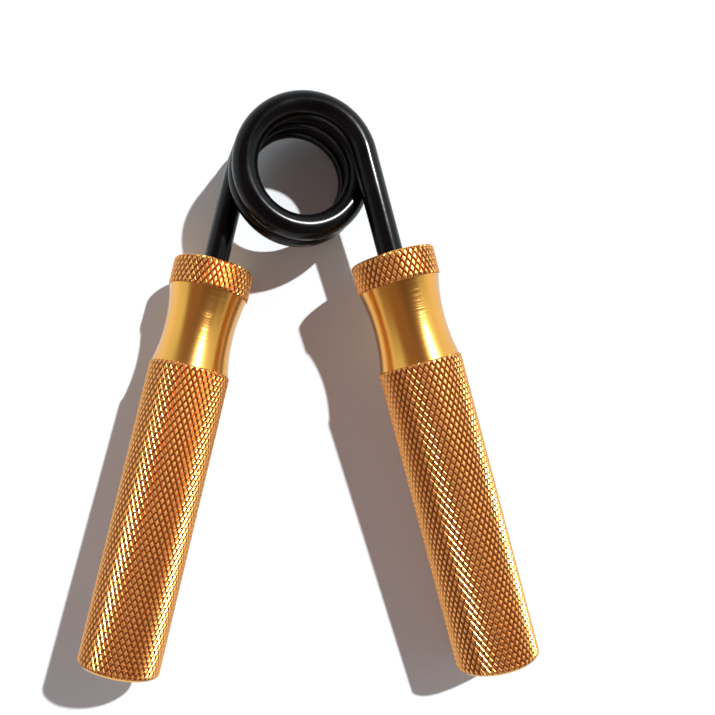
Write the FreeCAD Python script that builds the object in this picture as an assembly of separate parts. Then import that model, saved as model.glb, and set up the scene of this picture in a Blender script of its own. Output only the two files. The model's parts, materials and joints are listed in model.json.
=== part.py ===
import FreeCAD, Part
import math
import os
from FreeCAD import Matrix, Vector

# Hand grip strengthener: a torsion spring of round wire with a turned handle on each leg.
# Millimetres. It is built about the coil's own axis and then laid down on its three resting
# points, with +Z up from the table, +Y from the handles towards the coil, and the origin on
# the table under the middle of the whole.

# Spring wire
WIRE = 7.7
COIL_RADIUS = 17.85
TURN_GAP = 0.5
WHOLE_TURNS = 2
LEG_SPREAD = math.radians(14.35)
LEG_SHOWN = 32.8
LEG_HELD = 36.0
LEG_CHAMFER = 0.8
COIL_SPANS = 10
LEAST_GAP = 0.4
GAP_POINTS = 400

# Handles, from the collar at the top to the end of the grip
COLLAR = 8.7
NECK = 24.1
GRIP = 93.4
GRIP_DIAMETER = 25.0
NECK_END_DIAMETER = 24.3
WAIST_DIAMETER = 21.5
KNURL_EDGE = 0.5
COLLAR_CHAMFER = 0.6
GRIP_CHAMFER = 1.0

# The blind bore that holds a leg
PRESS = 0.01
MOUTH_CHAMFER = 0.5
DRILL_POINT = math.radians(118)

# How finely the resting points are found
REST_POINTS = 4000
REST_STEPS = 40

# Worked out
PITCH = WIRE + TURN_GAP
COIL_ANGLE = 2 * math.pi * WHOLE_TURNS + math.pi - 2 * LEG_SPREAD
COIL_HALF = PITCH * COIL_ANGLE / (4 * math.pi)
HANDLE = COLLAR + NECK + GRIP
FRONT = Vector(0, 0, 1)


# Coil
def wire_at(span):
    """A point of the wire's centre line and its direction, this many spans along the coil
    from the right leg. The climb is steady, but both ends are level, where the legs are."""
    angle = COIL_ANGLE * span / COIL_SPANS
    turned = LEG_SPREAD + angle
    height = COIL_HALF - PITCH * angle / (2 * math.pi)
    climb = 0 if span in (0, COIL_SPANS) else -PITCH / (2 * math.pi * COIL_RADIUS)
    point = Vector(COIL_RADIUS * math.cos(turned), COIL_RADIUS * math.sin(turned), height)
    return point, Vector(-math.sin(turned), math.cos(turned), climb).normalize()


def arc(start, corner, end):
    """The arc from start to end whose end tangents meet at corner."""
    middle = (start + end) / 2
    half_turn = (corner - start).getAngle(end - start)
    rise = math.tan(half_turn / 2) / math.tan(half_turn)
    return Part.Arc(start, middle + (corner - middle) * rise, end).toShape()


def biarc(start, start_way, end, end_way):
    """Two arcs, tangent to each other, from start along start_way to end along end_way."""
    chord = end - start
    lean = chord.dot(start_way + end_way)
    bend = 2 * (1 - start_way.dot(end_way))
    reach = (math.sqrt(lean ** 2 + bend * chord.dot(chord)) - lean) / bend
    first_corner = start + start_way * reach
    last_corner = end - end_way * reach
    joint = (first_corner + last_corner) / 2
    return [arc(start, first_corner, joint), arc(joint, last_corner, end)]


def coil_path():
    """The coil's centre line, in biarcs of about a quarter turn."""
    arcs = []
    for span in range(COIL_SPANS):
        arcs += biarc(*wire_at(span), *wire_at(span + 1))
    return Part.Wire(arcs)


def make_coil(path):
    """One unbroken tube along the coil's centre line."""
    section = Part.Circle(*wire_at(0), WIRE / 2).toShape()
    pipe = Part.BRepOffsetAPI.MakePipeShell(path)
    pipe.add(Part.Wire(section))
    pipe.build()
    pipe.makeSolid()
    return pipe.shape()


def least_gap(path):
    """The least gap of the coil to itself, between points more than half a turn apart."""
    points = path.discretize(Number=GAP_POINTS)
    apart = round(len(points) * math.pi / COIL_ANGLE)
    nearest = min(
        (points[i] - points[j]).Length
        for i in range(len(points))
        for j in range(i + apart, len(points))
    )
    return nearest - WIRE


# Legs and handles
class Side:
    """Where one leg leaves the coil, which way it runs and where its handle starts."""

    def __init__(self, sign):
        root, _ = wire_at(0)
        self.start = Vector(sign * root.x, root.y, sign * root.z)
        self.way = Vector(sign * math.sin(LEG_SPREAD), -math.cos(LEG_SPREAD), 0)
        self.top = self.start + self.way * LEG_SHOWN

    def place(self, shape):
        """Move a shape built along +Z from the origin to the top of this side's handle."""
        turn = FreeCAD.Rotation(FRONT, self.way)
        return shape.transformed(FreeCAD.Placement(self.top, turn).toMatrix(), True)


def turned(outline):
    """Revolve a half outline of (radius, height) about the Z axis."""
    face = Part.Face(Part.Wire(outline))
    return face.revolve(Vector(0, 0, 0), FRONT, 360)


def straight(points):
    """Lines through (radius, height) points."""
    corners = [Vector(radius, 0, height) for radius, height in points]
    return [Part.LineSegment(a, b).toShape() for a, b in zip(corners, corners[1:])]


def make_leg(side):
    """The straight wire from the coil to the bottom of the bore, with a chamfered tip."""
    radius = WIRE / 2
    outline = straight([
        (0, -LEG_SHOWN),
        (radius, -LEG_SHOWN),
        (radius, LEG_HELD - LEG_CHAMFER),
        (radius - LEG_CHAMFER, LEG_HELD),
        (0, LEG_HELD),
        (0, -LEG_SHOWN),
    ])
    return side.place(turned(outline))


def make_handle(side):
    """The turned handle: knurled collar, waisted neck, knurled grip and blind bore."""
    grip = GRIP_DIAMETER / 2
    neck = NECK_END_DIAMETER / 2
    bore = WIRE / 2 - PRESS
    bore_tip = LEG_HELD + bore / math.tan(DRILL_POINT / 2)
    neck_end = COLLAR + NECK
    mouth_to_neck = straight([
        (0, bore_tip),
        (bore, LEG_HELD),
        (bore, MOUTH_CHAMFER),
        (bore + MOUTH_CHAMFER, 0),
        (grip - COLLAR_CHAMFER, 0),
        (grip, COLLAR_CHAMFER),
        (grip, COLLAR - KNURL_EDGE),
        (neck, COLLAR),
    ])
    waist = Part.Arc(
        Vector(neck, 0, COLLAR),
        Vector(WAIST_DIAMETER / 2, 0, COLLAR + NECK / 2),
        Vector(neck, 0, neck_end),
    ).toShape()
    grip_to_end = straight([
        (neck, neck_end),
        (grip, neck_end + KNURL_EDGE),
        (grip, HANDLE - GRIP_CHAMFER),
        (grip - GRIP_CHAMFER, HANDLE),
        (0, HANDLE),
        (0, bore_tip),
    ])
    return side.place(turned(mouth_to_neck + [waist] + grip_to_end))


# Lying down
def rim_low(side, height, up):
    """The lowest point of the handle's round rim at this height down from its top."""
    outward = up - side.way * up.dot(side.way)
    return side.top + side.way * height - outward.normalize() * (GRIP_DIAMETER / 2)


def coil_low(points, up):
    """The lowest point of the coil."""
    lowest = min(points, key=lambda point: point.dot(up))
    return lowest - up * (WIRE / 2)


def resting_up(left, right, path):
    """The table's upward direction, from the three points that touch it: the rim of the left
    collar, the end rim of the right grip and the rear turn of the coil."""
    points = path.discretize(Number=REST_POINTS)
    up = FRONT
    for _ in range(REST_STEPS):
        collar = rim_low(left, COLLAR_CHAMFER, up)
        grip_end = rim_low(right, HANDLE - GRIP_CHAMFER, up)
        turn = coil_low(points, up)
        up = (grip_end - collar).cross(turn - collar).normalize()
        if up.dot(FRONT) < 0:
            up = -up
    return up


def table_frame(up):
    """The turn from the coil's own axes to the table's, with +Y along the middle line."""
    middle = Vector(0, 1, 0)
    y = (middle - up * up.dot(middle)).normalize()
    x = y.cross(up)
    return Matrix(x.x, x.y, x.z, 0, y.x, y.y, y.z, 0, up.x, up.y, up.z, 0, 0, 0, 0, 1)


def lay_down(shapes, turn):
    """The matrix that turns the whole and sets the middle of its bottom on the origin."""
    whole = Part.makeCompound([shape.transformed(turn, True) for shape in shapes])
    box = whole.optimalBoundingBox(False, False)
    move = Matrix()
    move.move(Vector(-box.Center.x, -box.Center.y, -box.ZMin))
    return move * turn


right = Side(1)
left = Side(-1)
path = coil_path()
pieces = {
    "spring_coil": make_coil(path),
    "left_leg": make_leg(left),
    "right_leg": make_leg(right),
    "left_handle": make_handle(left),
    "right_handle": make_handle(right),
}
to_table = lay_down(pieces.values(), table_frame(resting_up(left, right, path)))

os.makedirs("parts", exist_ok=True)
for name, piece in pieces.items():
    laid = piece.transformed(to_table, True)
    laid.exportStep(f"parts/{name}.step")
    print(name, "valid", laid.isValid(), "volume", round(laid.Volume, 1))

gap = least_gap(path)
filled = pieces["spring_coil"].Volume / (path.Length * math.pi * WIRE ** 2 / 4)
print("coil's least gap to itself", round(gap, 3), "over", LEAST_GAP, gap > LEAST_GAP)
print("coil's volume over section times length", round(filled, 5))
print("least radius of the coil's arcs", round(min(e.Curve.Radius for e in path.Edges), 2))
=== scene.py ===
import json
import math
import random

import bmesh
import bpy
from mathutils import Matrix, Vector


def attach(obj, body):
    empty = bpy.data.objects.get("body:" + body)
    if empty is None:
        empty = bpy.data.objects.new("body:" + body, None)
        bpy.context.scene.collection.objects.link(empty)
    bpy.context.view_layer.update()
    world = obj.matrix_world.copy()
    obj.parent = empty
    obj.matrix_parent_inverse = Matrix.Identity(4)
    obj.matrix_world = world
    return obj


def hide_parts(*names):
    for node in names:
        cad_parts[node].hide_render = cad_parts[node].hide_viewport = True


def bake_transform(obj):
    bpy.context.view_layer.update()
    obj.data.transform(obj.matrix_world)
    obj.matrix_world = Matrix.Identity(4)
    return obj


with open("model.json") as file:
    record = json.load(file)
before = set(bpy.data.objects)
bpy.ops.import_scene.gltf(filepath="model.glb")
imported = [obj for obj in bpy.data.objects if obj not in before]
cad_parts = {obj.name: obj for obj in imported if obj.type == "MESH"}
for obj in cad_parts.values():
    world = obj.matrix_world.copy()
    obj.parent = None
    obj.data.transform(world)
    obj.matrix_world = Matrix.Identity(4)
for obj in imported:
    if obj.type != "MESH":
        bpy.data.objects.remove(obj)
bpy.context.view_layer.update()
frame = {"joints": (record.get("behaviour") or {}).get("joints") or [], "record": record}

# A hand grip strengthener: one thick black spring wire and two turned, knurled, gold-anodised
# handles. Everything is in metres. A piece is modelled about its own axis and then placed by
# the frame's mounts and joint.
MM = 0.001
FULL_TURN = 2 * math.pi
# Heights that differ by less are the same
SAME_HEIGHT = 0.01 * MM

# Spring wire
WIRE = 7.7 * MM
COIL_RADIUS = 17.85 * MM
TURN_GAP = 0.5 * MM
WHOLE_TURNS = 2
LEG_SPREAD = math.radians(14.35)
LEG_SHOWN = 32.8 * MM
LEG_IN_BORE = 6 * MM
WIRE_SIDES = 48
RINGS_A_TURN = 72

# Handles, in radii, and in heights above the end of the grip
HANDLE = 126.2 * MM
GRIP = 93.4 * MM
NECK = 24.1 * MM
GRIP_RADIUS = 12.5 * MM
NECK_END_RADIUS = 12.1 * MM
WAIST_RADIUS = 10.75 * MM
END_RADIUS = 11.5 * MM
COLLAR_TOP_RADIUS = 11.9 * MM
BORE_RADIUS = 3.9 * MM
MOUTH_CHAMFER = 0.5 * MM
BORE_SHOWN = 8 * MM
NECK_SIDES = 64
NECK_RINGS = 500
NECK_EDGE = 0.15 * MM
TURNING_MARK = 0.009 * MM

# Diamond knurl: each diamond has a steep wall, a shoulder and a low crown round its flat top,
# and the knurl is bevelled down at its ends
DIAMONDS_ROUND = 44
DIAMOND_HEIGHT = 3.2 * MM
GROOVE_RADIUS = 12.12 * MM
WALL_WIDTH = 0.21 * MM
WALL_RISE = 0.26 * MM
SHOULDER_WIDTH = 0.15 * MM
SHOULDER_RISE = 0.1 * MM
CROWN_WIDTH = 0.1 * MM
CROWN_RISE = GRIP_RADIUS - GROOVE_RADIUS - WALL_RISE - SHOULDER_RISE
KNURL_EDGE = GRIP_RADIUS - NECK_END_RADIUS

# Black finish. A noise has its lumps a metre and its detail, and is used over a range of itself.
BLACK = (0.0012, 0.0012, 0.0018)
RUBBED_BLACK = (0.003, 0.003, 0.0036)
BLACK_ROUGHNESS = (0.18, 0.24)
BLACK_IOR = 1.3
RUBBED_NOISE = (90, 4)
RUBBED_RANGE = (0.4, 0.7)
DUST_COLOUR = (0.05, 0.05, 0.05)
DUST_NOISE = (2600, 1)
DUST_RANGE = (0.74, 0.8)
WAVE_NOISE = (420, 1)
WAVE_DEPTH = 0.05 * MM
WAVE_STRENGTH = 0.4

# Gold finish. Painted shade darkens the knurl's grooves and reaches some way up their walls, and
# the satin is on the tops.
DRIFT_NOISE = (60, 3)
DRIFT_RANGE = (0.35, 0.65)
DRIFT_SHADE = 0.92
MARK_NOISE = (9000, 3)
MARK_RANGE = (0.3, 0.7)
MARK_DEPTH = 0.004 * MM
MARK_STRENGTH = 0.5
# Painted shade in the grooves is full up to this height above the groove bottom, and fades out by
# the top of the wall
GROOVE_SHADE_HEIGHT = 0.1 * MM
SATIN_FROM = 0.04 * MM
SATIN = 0.14

# The attribute that holds a point's place on its piece's own axes
TURNED_PLACE = "turned_place"

# Floor and key light
FLOOR_HALF = 4
FLOOR_COLOUR = (0.85, 0.91, 0.95)
FLOOR_ROUGHNESS = 0.9
KEY_WAY = Vector((0.546, 0.432, 0.717))
KEY_SPREAD = math.radians(1.5)
KEY_LIGHT = 4.1

# The surround, where each range is the part of an axis of the direction over which it fades
CARD_COLOUR = (0.9, 1.04, 1.06)
CARD_TOP = (0.6, 0.7)
CARD_FRONT_TO_REAR = (-0.3, 0.15)
CARD_MIDDLE_TO_SIDE = (0.2, 0.7)
CARD_IN_FRONT = 0.05
CARD_IN_MIDDLE = 0.4
OVERHEAD_LEFT = (0.3, 0.195, 0.18)
OVERHEAD_RIGHT = (0.15, 0.096, 0.094)
OVERHEAD_LEFT_TO_RIGHT = (-0.25, 0.1)
BACKDROP_COLOUR = (1, 1, 1)
BACKDROP_TOP = (0.15, 0.3)

# Camera
CAMERA_PLACE = Vector((9.40, -10.70, 257.05)) * MM
CAMERA_TURN = [math.radians(angle) for angle in (-0.247, 4.173, -1.145)]
CAMERA_LENS = 39.87
CAMERA_SHIFT = (0.1121, 0.0936)
CAMERA_NEAR = 10 * MM

MOUNTS = {mount["name"]: mount for mount in frame["record"]["mounts"]}
HINGE = frame["joints"][0]


# Places
def coil_place():
    """From the coil's own axes, +Z to the viewer and +Y away from the handles, to the frame."""
    front = -Vector(HINGE["axis"])
    up = front.cross(Vector((1, 0, 0))).normalized()
    turn = Matrix((up.cross(front), up, front)).transposed().to_4x4()
    return Matrix.Translation(HINGE["pos_m"]) @ turn


def handle_place(side):
    """From a handle's own axes, +Z up from the end of its grip, to the frame."""
    face = MOUNTS[side + "_end_face"]
    up = -Vector(face["axis"])
    across = Vector((0, 0, 1)).cross(up).normalized()
    turn = Matrix((across, up.cross(across), up)).transposed().to_4x4()
    return Matrix.Translation(face["pos_m"]) @ turn


# Rings of edges, and tubes made of them
def edges_of(geometry):
    return [item for item in geometry if isinstance(item, bmesh.types.BMEdge)]


def faces_of(geometry):
    return [item for item in geometry if isinstance(item, bmesh.types.BMFace)]


def extrude_ring(bm, ring):
    """Extrude a ring of edges in place, and give its new edges, vertices and faces."""
    part = bmesh.ops.extrude_edge_only(bm, edges=ring)["geom"]
    verts = [item for item in part if isinstance(item, bmesh.types.BMVert)]
    return edges_of(part), verts, faces_of(part)


def tube_to(bm, ring, radius, height):
    """Carry a ring about Z on to another radius and height, and give its edges and faces."""
    ring, verts, faces = extrude_ring(bm, ring)
    ratio = radius / verts[0].co.to_2d().length
    bmesh.ops.scale(bm, verts=verts, vec=(ratio, ratio, 1))
    bmesh.ops.translate(bm, verts=verts, vec=(0, 0, height - verts[0].co.z))
    return ring, faces


def boundary_at(bm, height):
    """The open edges at a height."""
    return [
        edge for edge in bm.edges
        if edge.is_boundary and all(abs(vert.co.z - height) < SAME_HEIGHT for vert in edge.verts)
    ]


def new_piece(bm, name, place, materials):
    """Make a finished bmesh an object that lies in its place, and note where each point lay
    on the piece's own axes. Its edges are sharp where one finish or curve meets another."""
    bmesh.ops.recalc_face_normals(bm, faces=bm.faces)
    for edge in bm.edges:
        if len({(face.smooth, face.material_index) for face in edge.link_faces}) > 1:
            edge.smooth = False
    own = bm.verts.layers.float_vector.new(TURNED_PLACE)
    for vert in bm.verts:
        vert[own] = vert.co
    bm.transform(place)
    mesh = bpy.data.meshes.new(name)
    bm.to_mesh(mesh)
    bm.free()
    for material in materials:
        mesh.materials.append(material)
    piece = bpy.data.objects.new(name, mesh)
    bpy.context.scene.collection.objects.link(piece)
    return piece


# Materials
def new_material(name):
    """A new material, with its nodes, its links and its shader."""
    material = bpy.data.materials.new(name)
    material.use_nodes = True
    nodes = material.node_tree.nodes
    return material, nodes, material.node_tree.links, nodes["Principled BSDF"]


def noise(nodes, links, place, scale, detail):
    """Plain noise at a place, with this many lumps a metre."""
    node = nodes.new("ShaderNodeTexNoise")
    node.inputs["Scale"].default_value = scale
    node.inputs["Detail"].default_value = detail
    links.new(place, node.inputs["Vector"])
    return node.outputs["Fac"]


def ranged(nodes, links, value, source, target):
    """A value carried from one range to another, and held at its ends."""
    node = nodes.new("ShaderNodeMapRange")
    for socket, number in zip(("From Min", "From Max", "To Min", "To Max"), (*source, *target)):
        node.inputs[socket].default_value = number
    links.new(value, node.inputs["Value"])
    return node.outputs["Result"]


def blended(nodes, links, share, first, second):
    """One colour where the share is 0 and another where it is 1."""
    node = nodes.new("ShaderNodeMix")
    node.data_type = "RGBA"
    links.new(share, node.inputs["Factor"])
    for socket, colour in ((node.inputs["A"], first), (node.inputs["B"], second)):
        if isinstance(colour, bpy.types.NodeSocket):
            links.new(colour, socket)
        else:
            socket.default_value = (*colour, 1)
    return node.outputs["Result"]


def calculated(nodes, links, operation, *values):
    """The result of one operation on one or two values."""
    node = nodes.new("ShaderNodeMath")
    node.operation = operation
    for socket, value in zip(node.inputs, values):
        links.new(value, socket)
    return node.outputs[0]


def distance_out(nodes, links, place):
    """How far a place is from the Z axis."""
    flat = nodes.new("ShaderNodeMapping")
    flat.inputs["Scale"].default_value = (1, 1, 0)
    links.new(place, flat.inputs["Vector"])
    length = nodes.new("ShaderNodeVectorMath")
    length.operation = "LENGTH"
    links.new(flat.outputs["Vector"], length.inputs[0])
    return length.outputs["Value"]


def ringed(nodes, links, place, out):
    """A place that changes along the Z axis and out from it, for marks that run round it."""
    split = nodes.new("ShaderNodeSeparateXYZ")
    links.new(place, split.inputs["Vector"])
    joined = nodes.new("ShaderNodeCombineXYZ")
    links.new(calculated(nodes, links, "ADD", split.outputs["Z"], out), joined.inputs["Z"])
    return joined.outputs["Vector"]


def bumped(nodes, links, shader, height, depth, strength):
    """Raise the surface by a height from 0 to 1 over a depth in metres."""
    node = nodes.new("ShaderNodeBump")
    node.inputs["Strength"].default_value = strength
    node.inputs["Distance"].default_value = depth
    links.new(height, node.inputs["Height"])
    for socket in ("Normal", "Coat Normal"):
        links.new(node.outputs["Normal"], shader.inputs[socket])


def gloss_black():
    """Baked gloss black on the spring wire: slightly wavy, with fine dust and rubbed patches."""
    material, nodes, links, shader = new_material("gloss_black")
    shader.inputs["IOR"].default_value = BLACK_IOR
    place = nodes.new("ShaderNodeTexCoord").outputs["Object"]
    rubbed = ranged(nodes, links, noise(nodes, links, place, *RUBBED_NOISE), RUBBED_RANGE, (0, 1))
    dust = ranged(nodes, links, noise(nodes, links, place, *DUST_NOISE), DUST_RANGE, (0, 1))
    body = blended(nodes, links, rubbed, BLACK, RUBBED_BLACK)
    links.new(blended(nodes, links, dust, body, DUST_COLOUR), shader.inputs["Base Color"])
    polish = ranged(nodes, links, rubbed, (0, 1), BLACK_ROUGHNESS)
    links.new(polish, shader.inputs["Roughness"])
    waves = noise(nodes, links, place, *WAVE_NOISE)
    bumped(nodes, links, shader, waves, WAVE_DEPTH, WAVE_STRENGTH)
    return material


def gold_anodised(name, tint, grazing, roughness, coat, coat_roughness, painted_groove_shade=None):
    """Gold anodising over turned aluminium. Its tint drifts a little and fine turning marks run
    round the handle. With a painted groove shade it is for the knurl, whose grooves are painted
    darker as shade, and whose flat tops are satin."""
    material, nodes, links, shader = new_material(name)
    shader.inputs["Metallic"].default_value = 1
    shader.inputs["Specular Tint"].default_value = (*grazing, 1)
    shader.inputs["Coat Weight"].default_value = coat
    shader.inputs["Coat Roughness"].default_value = coat_roughness
    turned = nodes.new("ShaderNodeAttribute")
    turned.attribute_name = TURNED_PLACE
    place = turned.outputs["Vector"]
    out = distance_out(nodes, links, place)

    drift = ranged(nodes, links, noise(nodes, links, place, *DRIFT_NOISE), DRIFT_RANGE, (0, 1))
    colour = blended(nodes, links, drift, tint, [DRIFT_SHADE * part for part in tint])
    marks = noise(nodes, links, ringed(nodes, links, place, out), *MARK_NOISE)
    polish = ranged(nodes, links, marks, MARK_RANGE, roughness)
    if painted_groove_shade:
        # Painted shade: the grooves and the foot of their walls are darkened, fading out up the
        # walls
        wall = (GROOVE_RADIUS + GROOVE_SHADE_HEIGHT, GROOVE_RADIUS + WALL_RISE)
        colour = blended(
            nodes, links, ranged(nodes, links, out, wall, (0, 1)), painted_groove_shade, colour,
        )
        crown = (GRIP_RADIUS - SATIN_FROM, GRIP_RADIUS - CROWN_RISE)
        satin = ranged(nodes, links, out, crown, (0, SATIN))
        polish = calculated(nodes, links, "ADD", polish, satin)
    links.new(colour, shader.inputs["Base Color"])
    links.new(polish, shader.inputs["Roughness"])
    bumped(nodes, links, shader, marks, MARK_DEPTH, MARK_STRENGTH)
    return material


# Spring wire
def make_wire():
    """The whole wire, from inside one handle, round the coil and into the other."""
    coil_angle = FULL_TURN * WHOLE_TURNS + math.pi - 2 * LEG_SPREAD
    climb = (WIRE + TURN_GAP) * coil_angle / FULL_TURN
    steps = round(coil_angle / FULL_TURN * RINGS_A_TURN)
    leg = Vector((math.sin(LEG_SPREAD), -math.cos(LEG_SPREAD), 0))
    root = Vector((
        COIL_RADIUS * math.cos(LEG_SPREAD), COIL_RADIUS * math.sin(LEG_SPREAD), climb / 2,
    ))
    length = LEG_SHOWN + LEG_IN_BORE

    bm = bmesh.new()
    circle = bmesh.ops.create_circle(bm, segments=WIRE_SIDES, radius=WIRE / 2)["verts"]
    bmesh.ops.rotate(bm, verts=circle, matrix=leg.to_track_quat("Z", "X").to_matrix())
    bmesh.ops.translate(bm, verts=circle, vec=root)
    start = list(bm.edges)
    right_tip, verts, _ = extrude_ring(bm, start)
    bmesh.ops.translate(bm, verts=verts, vec=leg * length)
    ring = start
    for _ in range(steps):
        part = bmesh.ops.spin(
            bm, geom=ring, cent=(0, 0, 0), axis=(0, 0, 1), dvec=(0, 0, -climb / steps),
            angle=coil_angle / steps, steps=1,
        )
        ring = edges_of(part["geom_last"])
    left_tip, verts, _ = extrude_ring(bm, ring)
    bmesh.ops.translate(bm, verts=verts, vec=Vector((-leg.x, leg.y, 0)) * length)
    for face in bm.faces:
        face.smooth = True
    for tip in (right_tip, left_tip):
        bmesh.ops.edgeloop_fill(bm, edges=tip)

    place = coil_place()
    wire = new_piece(bm, "spring_wire", place, [gloss_black()])
    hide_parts("spring_coil", "left_leg", "right_leg")
    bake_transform(wire)


# Handles
def to_radius(vert, radius):
    """Move a vertex straight out from the Z axis or in towards it."""
    vert.co.xy = vert.co.to_2d().normalized() * radius


def knurled_bar(zones):
    """A bmesh of raised diamonds round the handle, kept only in the zones from one height to
    another, and bevelled down to the plain surface at both ends of each. The quads of a plain
    tube are poked, and without their own edges their quarters join into diamonds. A side of a
    diamond is smooth from wall to shoulder and sharp against its neighbours, and its crown is
    smooth over the top."""
    bm = bmesh.new()
    circle = bmesh.ops.create_circle(bm, segments=DIAMONDS_ROUND, radius=GROOVE_RADIUS)["verts"]
    bmesh.ops.translate(bm, verts=circle, vec=(0, 0, -DIAMOND_HEIGHT))
    ring = bm.edges[:]
    for row in range(math.ceil(HANDLE / DIAMOND_HEIGHT) + 1):
        ring, _ = tube_to(bm, ring, GROOVE_RADIUS, row * DIAMOND_HEIGHT)
    lattice = [edge for edge in bm.edges if not edge.is_boundary]
    for vert in bmesh.ops.poke(bm, faces=bm.faces)["verts"]:
        to_radius(vert, GROOVE_RADIUS)
    bmesh.ops.dissolve_edges(bm, edges=lattice)
    bmesh.ops.recalc_face_normals(bm, faces=bm.faces)

    tops = bm.faces[:]
    rounded = []
    for width, rise, smooth in (
        (WALL_WIDTH, WALL_RISE, True),
        (SHOULDER_WIDTH, SHOULDER_RISE, False),
        (CROWN_WIDTH, CROWN_RISE, True),
    ):
        bmesh.ops.inset_individual(
            bm, faces=tops, thickness=width, depth=rise, use_even_offset=True,
        )
        if smooth:
            rounded += [edge for face in tops for edge in face.edges]
    for edge in bm.edges:
        edge.smooth = False
    for edge in rounded:
        edge.smooth = True
    for vert in bm.verts:
        to_radius(vert, min(vert.co.to_2d().length, GRIP_RADIUS))

    for low, high in zones:
        for cut in (low, low + KNURL_EDGE, high - KNURL_EDGE, high):
            bmesh.ops.bisect_plane(
                bm, geom=bm.verts[:] + bm.edges[:] + bm.faces[:],
                plane_co=(0, 0, cut), plane_no=(0, 0, 1),
            )
    waste = [
        face for face in bm.faces
        if not any(low < face.calc_center_median().z < high for low, high in zones)
    ]
    bmesh.ops.delete(bm, geom=waste, context="FACES")
    for vert in bm.verts:
        inward = max(min(vert.co.z - low, high - vert.co.z) for low, high in zones)
        if inward < KNURL_EDGE:
            to_radius(vert, min(vert.co.to_2d().length, NECK_END_RADIUS + inward))
    return bm


def waist(share):
    """The neck's radius, part of the way along it, on one round arc."""
    sagitta = NECK_END_RADIUS - WAIST_RADIUS
    arc = (NECK ** 2 / 4 + sagitta ** 2) / (2 * sagitta)
    along = (share - 0.5) * NECK
    return WAIST_RADIUS + arc - math.sqrt(arc ** 2 - along ** 2)


def make_neck(bm, side):
    """The waisted neck between the knurls, with fine turning marks round it. Gives its faces."""
    low, high = GRIP + NECK_EDGE, GRIP + NECK - NECK_EDGE
    ends = []
    for height in (low, high):
        circle = bmesh.ops.create_circle(bm, segments=NECK_SIDES, radius=WAIST_RADIUS)["verts"]
        bmesh.ops.translate(bm, verts=circle, vec=(0, 0, height))
        ends.append(list({edge for vert in circle for edge in vert.link_edges}))
    bmesh.ops.bridge_loops(bm, edges=boundary_at(bm, GRIP) + ends[0])
    bmesh.ops.bridge_loops(bm, edges=boundary_at(bm, GRIP + NECK) + ends[1])
    between = bmesh.ops.bridge_loops(bm, edges=ends[0] + ends[1])["edges"]
    bmesh.ops.subdivide_edges(bm, edges=between, cuts=NECK_RINGS - 1, use_grid_fill=True)
    marks = random.Random(side)
    depths = [marks.uniform(-TURNING_MARK, TURNING_MARK) for _ in range(NECK_RINGS + 1)]
    for vert in bm.verts:
        if low - NECK_EDGE / 2 < vert.co.z < high + NECK_EDGE / 2:
            ring = round((vert.co.z - low) / (high - low) * NECK_RINGS)
            to_radius(vert, waist((vert.co.z - GRIP) / NECK) + depths[ring])
    return [face for face in bm.faces if GRIP < face.calc_center_median().z < GRIP + NECK]


def make_handle(side, finishes):
    """One handle as a closed mesh: end face, knurled grip, waisted neck, knurled collar, bore.
    Its finishes are the turned one and the knurled one."""
    grip_low = NECK_END_RADIUS - END_RADIUS
    neck_top = GRIP + NECK
    collar_high = HANDLE - (NECK_END_RADIUS - COLLAR_TOP_RADIUS)
    bm = knurled_bar([(grip_low, GRIP), (neck_top, collar_high)])

    for face in bm.faces:
        face.material_index = 1
        face.smooth = True
    ring, smooth = tube_to(bm, boundary_at(bm, grip_low), END_RADIUS, 0)
    bmesh.ops.edgeloop_fill(bm, edges=ring)
    smooth += make_neck(bm, side)
    ring = boundary_at(bm, collar_high)
    for radius, height in (
        (COLLAR_TOP_RADIUS, HANDLE),
        (BORE_RADIUS + MOUTH_CHAMFER, HANDLE),
        (BORE_RADIUS, HANDLE - MOUTH_CHAMFER),
        (BORE_RADIUS, HANDLE - BORE_SHOWN),
    ):
        ring, faces = tube_to(bm, ring, radius, height)
        for face in faces:
            face.material_index = 0
            face.smooth = False
    bmesh.ops.edgeloop_fill(bm, edges=ring)
    for face in smooth:
        face.smooth = True
        face.material_index = 0

    handle = new_piece(bm, side + "_knurled_handle", handle_place(side), finishes)
    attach(handle, side + "_arm")
    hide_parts(side + "_handle")


# Floor, light and camera
def make_floor():
    """A pale floor that is white where the key light falls on it."""
    bm = bmesh.new()
    bmesh.ops.create_grid(bm, x_segments=1, y_segments=1, size=FLOOR_HALF)
    material, _, _, shader = new_material("pale_floor")
    shader.inputs["Base Color"].default_value = (*FLOOR_COLOUR, 1)
    shader.inputs["Roughness"].default_value = FLOOR_ROUGHNESS
    shader.inputs["Specular IOR Level"].default_value = 0
    new_piece(bm, "floor", Matrix(), [material])


def make_key():
    """The key light, small and far away up to the right."""
    data = bpy.data.lights.new("key", "SUN")
    data.angle = KEY_SPREAD
    data.energy = KEY_LIGHT
    lamp = bpy.data.objects.new("key", data)
    lamp.rotation_euler = KEY_WAY.to_track_quat("Z", "Y").to_euler()
    bpy.context.scene.collection.objects.link(lamp)


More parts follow.
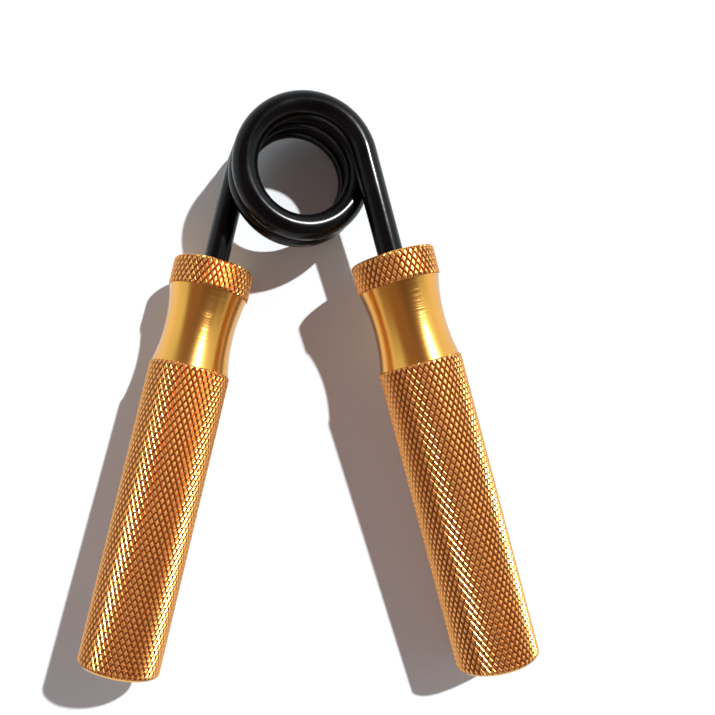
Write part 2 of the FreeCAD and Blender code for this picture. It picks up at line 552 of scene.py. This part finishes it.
def make_studio():
    """A dim ceiling, brighter to the left, and a broad soft card low down round the back and
    the sides. The camera sees a white backdrop past the floor's edge, and so do reflections
    near the horizon."""
    world = bpy.data.worlds.new("studio")
    world.use_nodes = True
    nodes, links = world.node_tree.nodes, world.node_tree.links
    split = nodes.new("ShaderNodeSeparateXYZ")
    links.new(nodes.new("ShaderNodeTexCoord").outputs["Generated"], split.inputs["Vector"])
    across, along, up = (split.outputs[axis] for axis in "XYZ")

    low = ranged(nodes, links, up, CARD_TOP, (1, 0))
    behind = ranged(nodes, links, along, CARD_FRONT_TO_REAR, (CARD_IN_FRONT, 1))
    sideways = calculated(nodes, links, "ABSOLUTE", across)
    aside = ranged(nodes, links, sideways, CARD_MIDDLE_TO_SIDE, (CARD_IN_MIDDLE, 1))
    card = calculated(nodes, links, "MULTIPLY", low, behind)
    card = calculated(nodes, links, "MULTIPLY", card, aside)
    right = ranged(nodes, links, across, OVERHEAD_LEFT_TO_RIGHT, (0, 1))
    overhead = blended(nodes, links, right, OVERHEAD_LEFT, OVERHEAD_RIGHT)
    surround = blended(nodes, links, card, overhead, CARD_COLOUR)

    ray = nodes.new("ShaderNodeLightPath").outputs
    mirrored = calculated(nodes, links, "ADD", ray["Is Glossy Ray"], ray["Is Transmission Ray"])
    horizon = ranged(nodes, links, up, BACKDROP_TOP, (1, 0))
    mirrored = calculated(nodes, links, "MULTIPLY", mirrored, horizon)
    seen = calculated(nodes, links, "ADD", ray["Is Camera Ray"], mirrored)
    colour = blended(nodes, links, seen, surround, BACKDROP_COLOUR)
    links.new(colour, nodes["Background"].inputs["Color"])
    bpy.context.scene.world = world


def make_camera():
    """The camera that took the photograph, looking almost straight down."""
    data = bpy.data.cameras.new("camera")
    data.lens = CAMERA_LENS
    data.shift_x, data.shift_y = CAMERA_SHIFT
    data.clip_start = CAMERA_NEAR
    camera = bpy.data.objects.new("camera", data)
    camera.location = CAMERA_PLACE
    camera.rotation_euler = CAMERA_TURN
    bpy.context.scene.collection.objects.link(camera)
    bpy.context.scene.camera = camera


make_wire()
finishes = [
    gold_anodised(
        "gold_turned", tint=(0.86, 0.41, 0.045), grazing=(0.6, 0.62, 0.6),
        roughness=(0.2, 0.25), coat=1, coat_roughness=0.26,
    ),
    # The knurled finish carries painted shade in its grooves
    gold_anodised(
        "gold_knurled", tint=(0.9, 0.43, 0.13), grazing=(0.28, 0.3, 0.3),
        roughness=(0.22, 0.3), coat=0.4, coat_roughness=0.15, painted_groove_shade=(0.62, 0.2, 0.035),
    ),
]
for side in ("left", "right"):
    make_handle(side, finishes)

make_floor()
make_key()
make_studio()
make_camera()
bpy.context.scene.view_settings.view_transform = "Standard"
